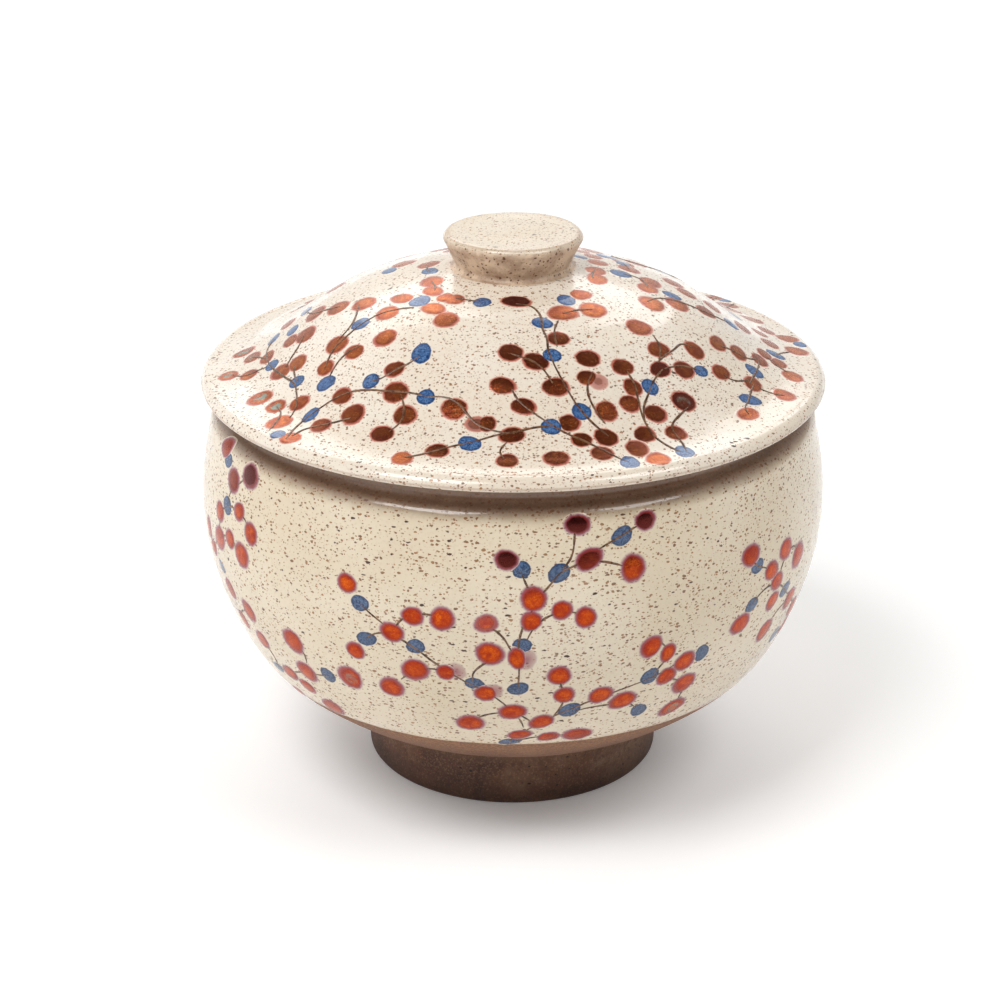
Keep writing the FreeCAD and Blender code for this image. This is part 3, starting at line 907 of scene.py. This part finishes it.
def srgb(red, green, blue):
    """A colour as seen, 0 to 255, in the linear values that shaders use."""
    def linear(c):
        c /= 255
        return c / 12.92 if c <= 0.04045 else ((c + 0.055) / 1.055) ** 2.4
    return tuple(linear(c) for c in (red, green, blue))


CREAM = srgb(225, 212, 194)
CREAM_PALE = srgb(233, 224, 211)
BOWL_CREAM = srgb(216, 201, 175)
BOWL_CREAM_PALE = srgb(225, 212, 190)
TAN_SPECK = srgb(164, 112, 66)
BROWN_SPECK = srgb(100, 58, 28)
DARK_SPECK = srgb(66, 34, 14)
THIN_GLAZE = srgb(150, 104, 66)
GLAZE_EDGE = srgb(196, 164, 128)
KNOB_THIN = srgb(156, 120, 94)
KNOB_THIN_PALE = srgb(216, 188, 160)
KNOB_SPECK = srgb(92, 54, 28)
CLAY_DARK = srgb(70, 42, 29)
CLAY = srgb(100, 64, 45)
CLAY_PALE = srgb(124, 93, 72)
CLAY_GRIT = srgb(160, 122, 90)
CLAY_SHADE = srgb(56, 34, 24)
CLAY_PIT = srgb(24, 16, 14)
# Painted shade: the dark brown of the bare neck and of the shoulder under the lid's brim
NECK_CLAY_AND_SHADE_COLOUR = srgb(112, 76, 54)
SAND = srgb(120, 80, 52)
SAND_PALE = srgb(160, 114, 78)
FOOT_SAND = srgb(128, 94, 70)
FOOT_SHADE = srgb(48, 28, 20)
TEAL_HEART = srgb(122, 132, 118)
# Painted reflection: the film colour of the dark berries
DARK_REFLECTION_FILM = srgb(110, 42, 44)
TWIG_DARK = srgb(66, 42, 28)
TWIG_PALE = srgb(122, 86, 56)
TWIG_WARM = srgb(96, 60, 38)
GLASS_IOR = 1.5
CLAY_IOR = 1.45

# Each ground: its colour, its paler colour, the size of the smaller spots, and how many large dark ones
BOWL_GROUND = (BOWL_CREAM, BOWL_CREAM_PALE, 1.0, 1.0)
LID_GROUND = (CREAM, CREAM_PALE, 0.78, 0.45)
KNOB_GROUND = (BOWL_CREAM, CREAM, 0.72, 0.8)
FLANGE_GROUND = (BOWL_CREAM, CREAM, 1.0, 1.0)

# Spots: spacing, and the smallest and largest radius, in mm; the share of places with a spot; and stretch
FINE_SPOTS = (0.55, 0.11, 0.22, 0.50, (0.9, 0.9, 1.1))
MIDDLE_SPOTS = (0.84, 0.17, 0.36, 0.46, (0.8, 0.9, 1.25))
LARGE_SPOTS = (1.6, 0.16, 0.38, 0.34, (0.6, 0.9, 1.25))
KNOB_SPOTS = (0.8, 0.12, 0.32, 0.75, (1.0, 1.0, 1.0))
CLAY_PITS = (1.6, 0.08, 0.30, 0.6, (0.8, 0.8, 1.3))


def specks(t, spots, grain=1.0, dark=1.0, crowding=0.0):
    """Scattered iron spots: how much of one is here, and a random number for it.

    grain scales their sizes, dark scales the share of places that hold one, and crowding adds to it.
    """
    spacing, smallest, largest, share, stretch = spots
    spacing, smallest, largest, share = spacing * grain, smallest * grain, largest * grain, share * dark
    shaped = t.node("ShaderNodeMapping", {"Vector": t.place(), "Scale": stretch}).outputs[0]
    ragged = t.node("ShaderNodeTexNoise", {
        "Vector": t.place(), "Scale": 1000 / (largest * 2.6), "Detail": 2.0})
    shift = t.node("ShaderNodeVectorMath", {0: ragged.outputs["Color"], 1: (2.0 * largest * MM,) * 3},
                   operation="MULTIPLY").outputs[0]
    moved = t.node("ShaderNodeVectorMath", {0: shaped, 1: shift}, operation="ADD").outputs[0]
    cells = t.node("ShaderNodeTexVoronoi", {"Vector": moved, "Scale": 1000 / spacing, "Randomness": 1.0})
    chance = t.node("ShaderNodeSeparateColor", {"Color": cells.outputs["Color"]})
    radius = t.math("MULTIPLY_ADD", chance.outputs[0], (largest - smallest) / spacing, smallest / spacing)
    inside = t.minus(radius, cells.outputs["Distance"])
    here = t.step(inside, -0.02 * largest / spacing, 0.20 * largest / spacing)
    chosen = t.math("LESS_THAN", chance.outputs[2], t.plus(share, crowding))
    return t.times(here, chosen), chance.outputs[1]


def glaze(t, base, pale, grain, dark, wear=None, worn_and_shade_colour=None, worn_and_shade_share=1.0):
    """The speckled cream glaze: its colour, roughness and normal. Its last arguments say where it breaks
    thin, with which colour and how much; on the bowl they also paint shade under the lid's brim.
    """
    slow = t.noise(28.0, 3.0, 0.6)
    colour = t.mix(t.step(slow, 0.35, 0.68), base, pale)
    dusty = t.noise(1500.0, 3.0, 0.7)
    colour = t.mix(t.times(t.step(dusty, 0.46, 0.74), 0.14), colour, TAN_SPECK)
    crowding = t.times(t.step(t.noise(75.0, 2.0), 0.32, 0.68), 0.28)
    fine, fine_pick = specks(t, FINE_SPOTS, grain, crowding=crowding)
    colour = t.mix(t.times(fine, t.plus(0.40, t.times(fine_pick, 0.45))), colour, TAN_SPECK)
    middle, middle_pick = specks(t, MIDDLE_SPOTS, grain, crowding=crowding)
    spot = t.mix(t.times(middle_pick, 0.8), BROWN_SPECK, TAN_SPECK)
    colour = t.mix(t.times(middle, 0.9), colour, spot)
    large, _ = specks(t, LARGE_SPOTS, dark=dark)
    colour = t.mix(large, colour, DARK_SPECK)
    # On the lid and knob this mix is thin glaze; on the bowl it is bare clay on the neck and painted shade
    # on the shoulder under the lid's brim
    if wear is not None:
        patchy = t.swing(0.35, 700.0, 3.0, 0.65)
        band = t.times(wear, t.rest(wear))
        worn_and_shaded = t.plus(wear, t.times(band, t.times(patchy, 4.0)), clamp=True)
        colour = t.mix(t.times(worn_and_shaded, worn_and_shade_share), colour, worn_and_shade_colour)
    spotted = t.math("MAXIMUM", t.times(middle, 0.5), large)
    rough = t.plus(0.10, t.times(spotted, 0.25))
    rough = t.plus(rough, t.times(slow, 0.08))
    broad = t.noise(170.0, 2.0, 0.5)
    peel = t.noise(620.0, 2.0, 0.5)
    height = t.plus(t.times(peel, 0.35), broad)
    height = t.minus(height, t.times(spotted, 0.3))
    return colour, rough, t.bump(height, 0.00007, 0.8)


def clay_colour(t):
    """Bare dark stoneware: mottled, gritty and pitted. Returns its colour and its height."""
    slow = t.noise(60.0, 4.0, 0.6, 0.6)
    colour = t.ramp(slow, [(0.30, CLAY_DARK), (0.50, CLAY), (0.68, CLAY_PALE)])
    grit = t.noise(2200.0, 3.0, 0.75)
    colour = t.mix(t.times(t.step(grit, 0.50, 0.66), 0.45), colour, CLAY_GRIT)
    colour = t.mix(t.times(t.step(t.noise(900.0, 2.0), 0.56, 0.66), 0.35), colour, CLAY_SHADE)
    pits, _ = specks(t, CLAY_PITS)
    colour = t.mix(pits, colour, CLAY_PIT)
    return colour, t.minus(t.times(grit, 0.5), pits)


def bowl_material():
    """Glaze down to a wavering line, with sandy bare clay below it, and bare clay on the neck whose dark
    brown runs down over the shoulder as painted shade of the lid's brim.
    """
    t = Tree("speckled_bowl_glaze")
    line = t.attribute("line")
    ragged = t.plus(line, t.swing(0.9, 90.0, 3.0))
    glazed = t.step(ragged, -0.08, 0.10)
    clay, clay_height = clay_colour(t)
    # Painted shade: this dark brown is bare clay on the neck and stands for the lid brim's shadow on the
    # glazed shoulder below it
    neck = t.mix(0.5, clay, NECK_CLAY_AND_SHADE_COLOUR)
    colour, rough, normal = glaze(t, *BOWL_GROUND, t.attribute("wear"), neck, 0.92)
    sandy = t.times(t.step(line, -11.0, -1.0), 0.75)
    sand = t.mix(t.step(t.noise(1800.0, 3.0, 0.7), 0.42, 0.62), SAND, SAND_PALE)
    clay = t.mix(sandy, clay, sand)
    edge = t.times(t.step(ragged, -0.6, 0.0), t.rest(t.step(ragged, 0.0, 1.3)))
    colour = t.mix(t.times(edge, 0.35), colour, GLAZE_EDGE)
    full = t.mix(glazed, clay, colour)
    rough = t.plus(t.times(rough, glazed), t.times(t.rest(glazed), 0.68))
    normal = t.bump(t.times(clay_height, t.rest(glazed)), 0.00012, 0.9, normal)
    normal = t.bump(glazed, 0.00018, 0.9, normal)
    return t.finish(full, rough, normal, IOR=GLASS_IOR)


def foot_material():
    t = Tree("bare_dark_clay")
    clay, height = clay_colour(t)
    sandy = t.times(t.step(t.attribute("line"), -18.0, -13.8), 0.5)
    clay = t.mix(sandy, clay, FOOT_SAND)
    # Painted shade: the foot darkens towards its bottom edge, standing for the contact shadow at the floor
    low = t.rest(t.step(t.attribute("line"), -26.5, -19.0))
    clay = t.mix(t.times(low, 0.45), clay, FOOT_SHADE)
    normal = t.bump(height, 0.00014, 0.9)
    patches = t.noise(70.0, 3.0)
    return t.finish(clay, t.plus(0.46, t.times(patches, 0.3)), normal, IOR=CLAY_IOR)


def lid_material():
    t = Tree("speckled_lid_glaze")
    return t.finish(*glaze(t, *LID_GROUND, t.attribute("wear"), THIN_GLAZE, 0.45), IOR=GLASS_IOR)


def knob_material():
    t = Tree("thin_knob_glaze")
    side = t.attribute("side")
    colour, rough, normal = glaze(t, *KNOB_GROUND, t.attribute("wear"), THIN_GLAZE, 0.35)
    thin = t.mix(t.step(t.noise(220.0, 4.0, 0.65), 0.35, 0.65), KNOB_THIN, KNOB_THIN_PALE)
    colour = t.mix(t.times(side, 0.8), colour, thin)
    spots, _ = specks(t, KNOB_SPOTS)
    colour = t.mix(t.times(spots, t.plus(0.32, t.times(side, 0.6))), colour, KNOB_SPECK)
    return t.finish(colour, t.plus(rough, t.times(side, 0.22)), normal, IOR=GLASS_IOR)


def flange_material():
    t = Tree("flange_glaze")
    colour, rough, normal = glaze(t, *FLANGE_GROUND)
    return t.finish(colour, t.plus(rough, 0.15), normal, IOR=GLASS_IOR)


def berry_material(name, ground, look):
    """Lustre berries: a metallic heart in a red film, with a halo that sinks into the glaze. The dark ones
    are turned maroon, a painted reflection of the dark room.
    """
    t = Tree(name)
    under, rough, normal = glaze(t, *ground)
    tone, dark, veil = t.attribute("tone"), t.attribute("dark"), t.attribute("veil")
    uneven = t.swing(0.20, 1300.0, 3.0, 0.65)
    edge = t.plus(t.attribute("rho"), uneven)
    core = t.plus(t.attribute("core"), uneven)
    core = t.plus(core, t.times(veil, 0.9))
    brushed = t.noise(1500.0, 4.0, 0.75, 1.2)
    cloudy = t.noise(420.0, 3.0, 0.6, 0.8)
    bright, pure, deep = look["body"]
    heart = t.mix(t.step(brushed, 0.40, 0.60), pure, bright)
    heart = t.mix(t.times(t.step(cloudy, 0.42, 0.66), 0.75), heart, deep)
    heart = t.mix(t.times(tone, 0.35), heart, deep)
    heart_edge = look["heart_edge"]
    heart = t.mix(t.times(t.step(core, heart_edge - 0.40, heart_edge), 0.55), heart, deep)
    # Painted reflection: where dark is set, the heart turns to the dark maroon colour
    heart = t.mix(dark, heart, look["burnt"])
    teal = t.times(t.attribute("teal"), t.rest(t.step(core, 0.40, 0.62)))
    teal = t.times(teal, t.step(t.noise(600.0, 3.0), 0.36, 0.60))
    heart = t.mix(teal, heart, TEAL_HEART)
    # Painted reflection: the film of the dark ones turns darker too
    film = t.mix(t.times(dark, 0.6), look["film"], DARK_REFLECTION_FILM)
    soft = look["softness"]
    bare = t.step(core, heart_edge - soft, heart_edge + soft)
    colour = t.mix(bare, heart, film)
    colour = t.mix(t.times(veil, 0.7), colour, look["halo"])
    colour = t.mix(t.step(edge, 0.80, 1.04), colour, look["halo"])
    thin = t.times(veil, t.plus(0.10, t.times(t.step(edge, 0.0, 1.0), 0.4)))
    colour = t.mix(thin, colour, under)
    colour = t.mix(t.step(edge, look["fade"], look["end"]), colour, under)
    metal = t.times(t.rest(bare), t.minus(0.85, t.times(teal, 0.6)))
    metal = t.times(metal, t.rest(veil))
    paint = t.rest(t.step(edge, 0.92, 1.08))
    heart_rough = t.plus(0.17, t.times(brushed, 0.16))
    rough = t.plus(t.times(rough, t.rest(paint)), t.times(heart_rough, paint))
    normal = t.bump(t.times(brushed, paint), 0.00005, 0.8, normal)
    return t.finish(colour, rough, normal, Metallic=metal, IOR=GLASS_IOR)


def leaf_material(name, ground, blues):
    """Cobalt leaves with brush streaks and a darker edge."""
    t = Tree(name)
    under, rough, normal = glaze(t, *ground)
    dark, pale, middle = blues
    edge = t.plus(t.attribute("rho"), t.swing(0.16, 1300.0, 3.0, 0.6))
    streaks = t.noise(1250.0, 4.0, 0.75, 1.8)
    heart = t.mix(t.step(streaks, 0.40, 0.60), dark, pale)
    heart = t.mix(t.times(t.attribute("tone"), 0.4), heart, middle)
    heart = t.mix(t.times(t.step(edge, 0.68, 0.92), 0.55), heart, dark)
    colour = t.mix(t.step(edge, 0.96, 1.05), heart, under)
    return t.finish(colour, rough, normal, IOR=GLASS_IOR)


def twig_material():
    t = Tree("brushed_brown_twigs")
    streaks = t.noise(800.0, 3.0, 0.7)
    colour = t.mix(t.step(streaks, 0.38, 0.62), TWIG_DARK, TWIG_PALE)
    colour = t.mix(t.times(t.attribute("tone"), 0.4), colour, TWIG_WARM)
    rough = t.plus(0.2, t.times(streaks, 0.15))
    return t.finish(colour, rough, t.bump(streaks, 0.00004, 0.6), IOR=GLASS_IOR)


# --- Build ---
# What is painted on each body. The unseen back repeats the front's sprays out to the azimuth "seen",
# turned by "back". Heights and lifts are in mm above the glaze. Leaf colours run dark, pale, middle.
PAINTED = {
    "bowl": {
        "surface": BOWL_SURFACE, "ground": BOWL_GROUND, "back": 184, "seen": 67,
        "berries": BOWL_BERRIES, "kinds": BOWL_KINDS, "berry_height": 0.15,
        "leaves": BOWL_LEAVES, "leaf_height": 0.05, "twigs": BOWL_TWIGS, "twig_lift": 0.0,
        # The berries' dark maroon colour is a painted reflection of the dark room
        "berry_look": {
            "body": (srgb(206, 94, 15), srgb(177, 60, 14), srgb(143, 34, 20)), "burnt": srgb(88, 30, 26),
            "film": srgb(149, 43, 35), "halo": srgb(142, 84, 104), "heart_edge": 0.78, "softness": 0.11,
            "fade": 0.92, "end": 1.22,
        },
        "blues": (srgb(28, 46, 82), srgb(84, 108, 142), srgb(56, 76, 108)),
    },
    "lid": {
        "surface": LID_SURFACE, "ground": LID_GROUND, "back": 177, "seen": 66,
        "berries": LID_BERRIES, "kinds": LID_KINDS, "berry_height": 0.06,
        "leaves": LID_LEAVES, "leaf_height": 0.08, "twigs": LID_TWIGS, "twig_lift": 0.05,
        # The berries' dark maroon colour is a painted reflection of the dark room
        "berry_look": {
            "body": (srgb(185, 105, 45), srgb(162, 82, 34), srgb(132, 55, 34)), "burnt": srgb(90, 34, 30),
            "film": srgb(160, 72, 56), "halo": srgb(192, 118, 98), "heart_edge": 0.90, "softness": 0.07,
            "fade": 0.95, "end": 1.13,
        },
        "blues": (srgb(26, 50, 96), srgb(88, 126, 172), srgb(56, 88, 138)),
    },
}


def dress(piece, material, body, replaced=()):
    face_outward(piece.data)
    piece.data.materials.clear()
    piece.data.materials.append(material)
    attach(piece, body)
    if replaced:
        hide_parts(*replaced)


def all_round(paint, what):
    """The spots or twigs, and again at the back those within the seen azimuths."""
    items, turn, seen = paint[what], paint["back"], paint["seen"]
    if what == "twigs":
        again = [[(a + turn, p) for a, p in path] for path in items if max(abs(a) for a, p in path) < seen]
    else:
        again = [(d[0] + turn, *d[1:]) for d in items if abs(d[0]) < seen]
    return items + again


def build():
    dress(make_bowl_body(), bowl_material(), "bowl", ["bowl_body"])
    dress(make_foot(), foot_material(), "bowl", ["foot_ring"])
    dress(make_lid_dome(), lid_material(), "lid", ["lid_dome"])
    dress(make_knob(), knob_material(), "lid", ["lid_knob"])

    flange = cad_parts["lid_flange"]
    flange.data.materials.clear()
    flange.data.materials.append(flange_material())

    for body, paint in PAINTED.items():
        berries = paint_dabs(f"{body}_berries", paint["surface"], all_round(paint, "berries"),
                             paint["berry_height"], paint["kinds"])
        material = berry_material(f"{body}_lustre_berries", paint["ground"], paint["berry_look"])
        dress(berries, material, body)
    for body, paint in PAINTED.items():
        leaves = paint_dabs(f"{body}_leaves", paint["surface"], all_round(paint, "leaves"),
                            paint["leaf_height"])
        material = leaf_material(f"{body}_cobalt_leaves", paint["ground"], paint["blues"])
        dress(leaves, material, body)
    brown = twig_material()
    for body, paint in PAINTED.items():
        twigs = paint_twigs(f"{body}_twigs", paint["surface"], all_round(paint, "twigs"), paint["twig_lift"])
        dress(twigs, brown, body)


# --- Studio ---
CAMERA_PLACE = (-0.0027, -0.4657, 0.2554)
CAMERA_PITCH = 23.21
CAMERA_LENS = 86.32
CAMERA_SENSOR = 36.0

MIDDLE = (0.0, 0.0, 0.06)
BEHIND = (0.0, 0.35, 0.0)
# Softboxes: azimuth and elevation in degrees, distance in metres from the place they face, width,
# height, and power in watts
SOFTBOXES = {
    "left": (-42, 57, 1.05, MIDDLE, 0.50, 0.42, 6.4),
    "right": (60, 54, 1.05, MIDDLE, 0.44, 0.42, 3.6),
    "low_left": (-50, 20, 1.1, MIDDLE, 0.6, 0.5, 1.1),
    "back": (180, 46, 1.5, BEHIND, 1.5, 0.7, 7.0),
}

FLOOR_HALF = 6.0
FLOOR_PALE = (0.955, 0.955, 0.955)
FLOOR_PALER = (0.97, 0.97, 0.97)
FLOOR_ROUGHNESS = 0.9
# The floor glows a little, and more so away from the object
FLOOR_GLOW = 0.13
FAR_GLOW = 0.8
GLOW_FROM = 0.4
GLOW_TO = 1.5

WORLD_COLOUR = (1.0, 0.99, 0.97, 1.0)
WORLD_LEVEL = 0.98
# The room darkens overhead, behind the camera and to the right: axis, from, to, and the level it falls to
WORLD_FADES = [("Z", 0.72, 0.88, 0.09), ("Y", 0.10, -0.45, 0.08), ("X", 0.0, 0.8, 0.42)]


def make_camera():
    data = bpy.data.cameras.new("camera")
    data.lens = CAMERA_LENS
    data.sensor_width = CAMERA_SENSOR
    camera = bpy.data.objects.new("camera", data)
    camera.location = CAMERA_PLACE
    camera.rotation_euler = (math.radians(90 - CAMERA_PITCH), 0, 0)
    bpy.context.scene.collection.objects.link(camera)
    bpy.context.scene.camera = camera


def around(azimuth, elevation, distance, centre):
    """The place at that azimuth and elevation, in degrees, and that distance from the centre."""
    a, e = math.radians(azimuth), math.radians(elevation)
    flat = distance * math.cos(e)
    x, y, z = centre
    return (x + flat * math.sin(a), y - flat * math.cos(a), z + distance * math.sin(e))


def softbox(name, azimuth, elevation, distance, target, width, height, power):
    data = bpy.data.lights.new(name, "AREA")
    data.shape = "RECTANGLE"
    data.size = width
    data.size_y = height
    data.energy = power
    light = bpy.data.objects.new(name, data)
    place = around(azimuth, elevation, distance, target)
    light.location = place
    direction = Vector(target) - Vector(place)
    light.rotation_euler = direction.to_track_quat("-Z", "Y").to_euler()
    bpy.context.scene.collection.objects.link(light)


def make_floor():
    mesh = bpy.data.meshes.new("floor")
    s = FLOOR_HALF
    mesh.from_pydata([(-s, -s, 0), (s, -s, 0), (s, s, 0), (-s, s, 0)], [], [(0, 1, 2, 3)])
    floor = bpy.data.objects.new("floor", mesh)
    bpy.context.scene.collection.objects.link(floor)
    t = Tree("pale_floor")
    colour = t.mix(t.noise(6.0, 2.0), FLOOR_PALE, FLOOR_PALER)
    away = t.node("ShaderNodeVectorMath", {0: t.place()}, operation="LENGTH").outputs["Value"]
    glow = t.math("MULTIPLY_ADD", t.step(away, GLOW_FROM, GLOW_TO), FAR_GLOW, FLOOR_GLOW)
    floor.data.materials.append(t.finish(colour, FLOOR_ROUGHNESS, **{
        "Emission Color": (1.0, 1.0, 1.0), "Emission Strength": glow}))


def make_world():
    """A pale room, in which WORLD_FADES darkens parts."""
    world = bpy.data.worlds.new("studio")
    world.use_nodes = True
    bpy.context.scene.world = world
    tree = world.node_tree
    tree.nodes.clear()
    new, link = tree.nodes.new, tree.links.new
    direction = new("ShaderNodeSeparateXYZ")
    link(new("ShaderNodeTexCoord").outputs["Generated"], direction.inputs[0])
    level = None
    for axis, low, high, dark in WORLD_FADES:
        fade = new("ShaderNodeMapRange")
        fade.interpolation_type = "SMOOTHSTEP"
        link(direction.outputs[axis], fade.inputs["Value"])
        for key, number in (("From Min", low), ("From Max", high), ("To Min", 1.0), ("To Max", dark)):
            fade.inputs[key].default_value = number
        product = new("ShaderNodeMath")
        product.operation = "MULTIPLY"
        product.inputs[1].default_value = WORLD_LEVEL
        link(fade.outputs["Result"], product.inputs[0])
        if level is not None:
            link(level, product.inputs[1])
        level = product.outputs[0]
    background = new("ShaderNodeBackground")
    link(level, background.inputs["Strength"])
    background.inputs["Color"].default_value = WORLD_COLOUR
    link(background.outputs[0], new("ShaderNodeOutputWorld").inputs["Surface"])


def make_studio():
    make_world()
    make_floor()
    for name, settings in SOFTBOXES.items():
        softbox(name, *settings)
    bpy.context.scene.view_settings.view_transform = "Standard"


build()
make_studio()
make_camera()
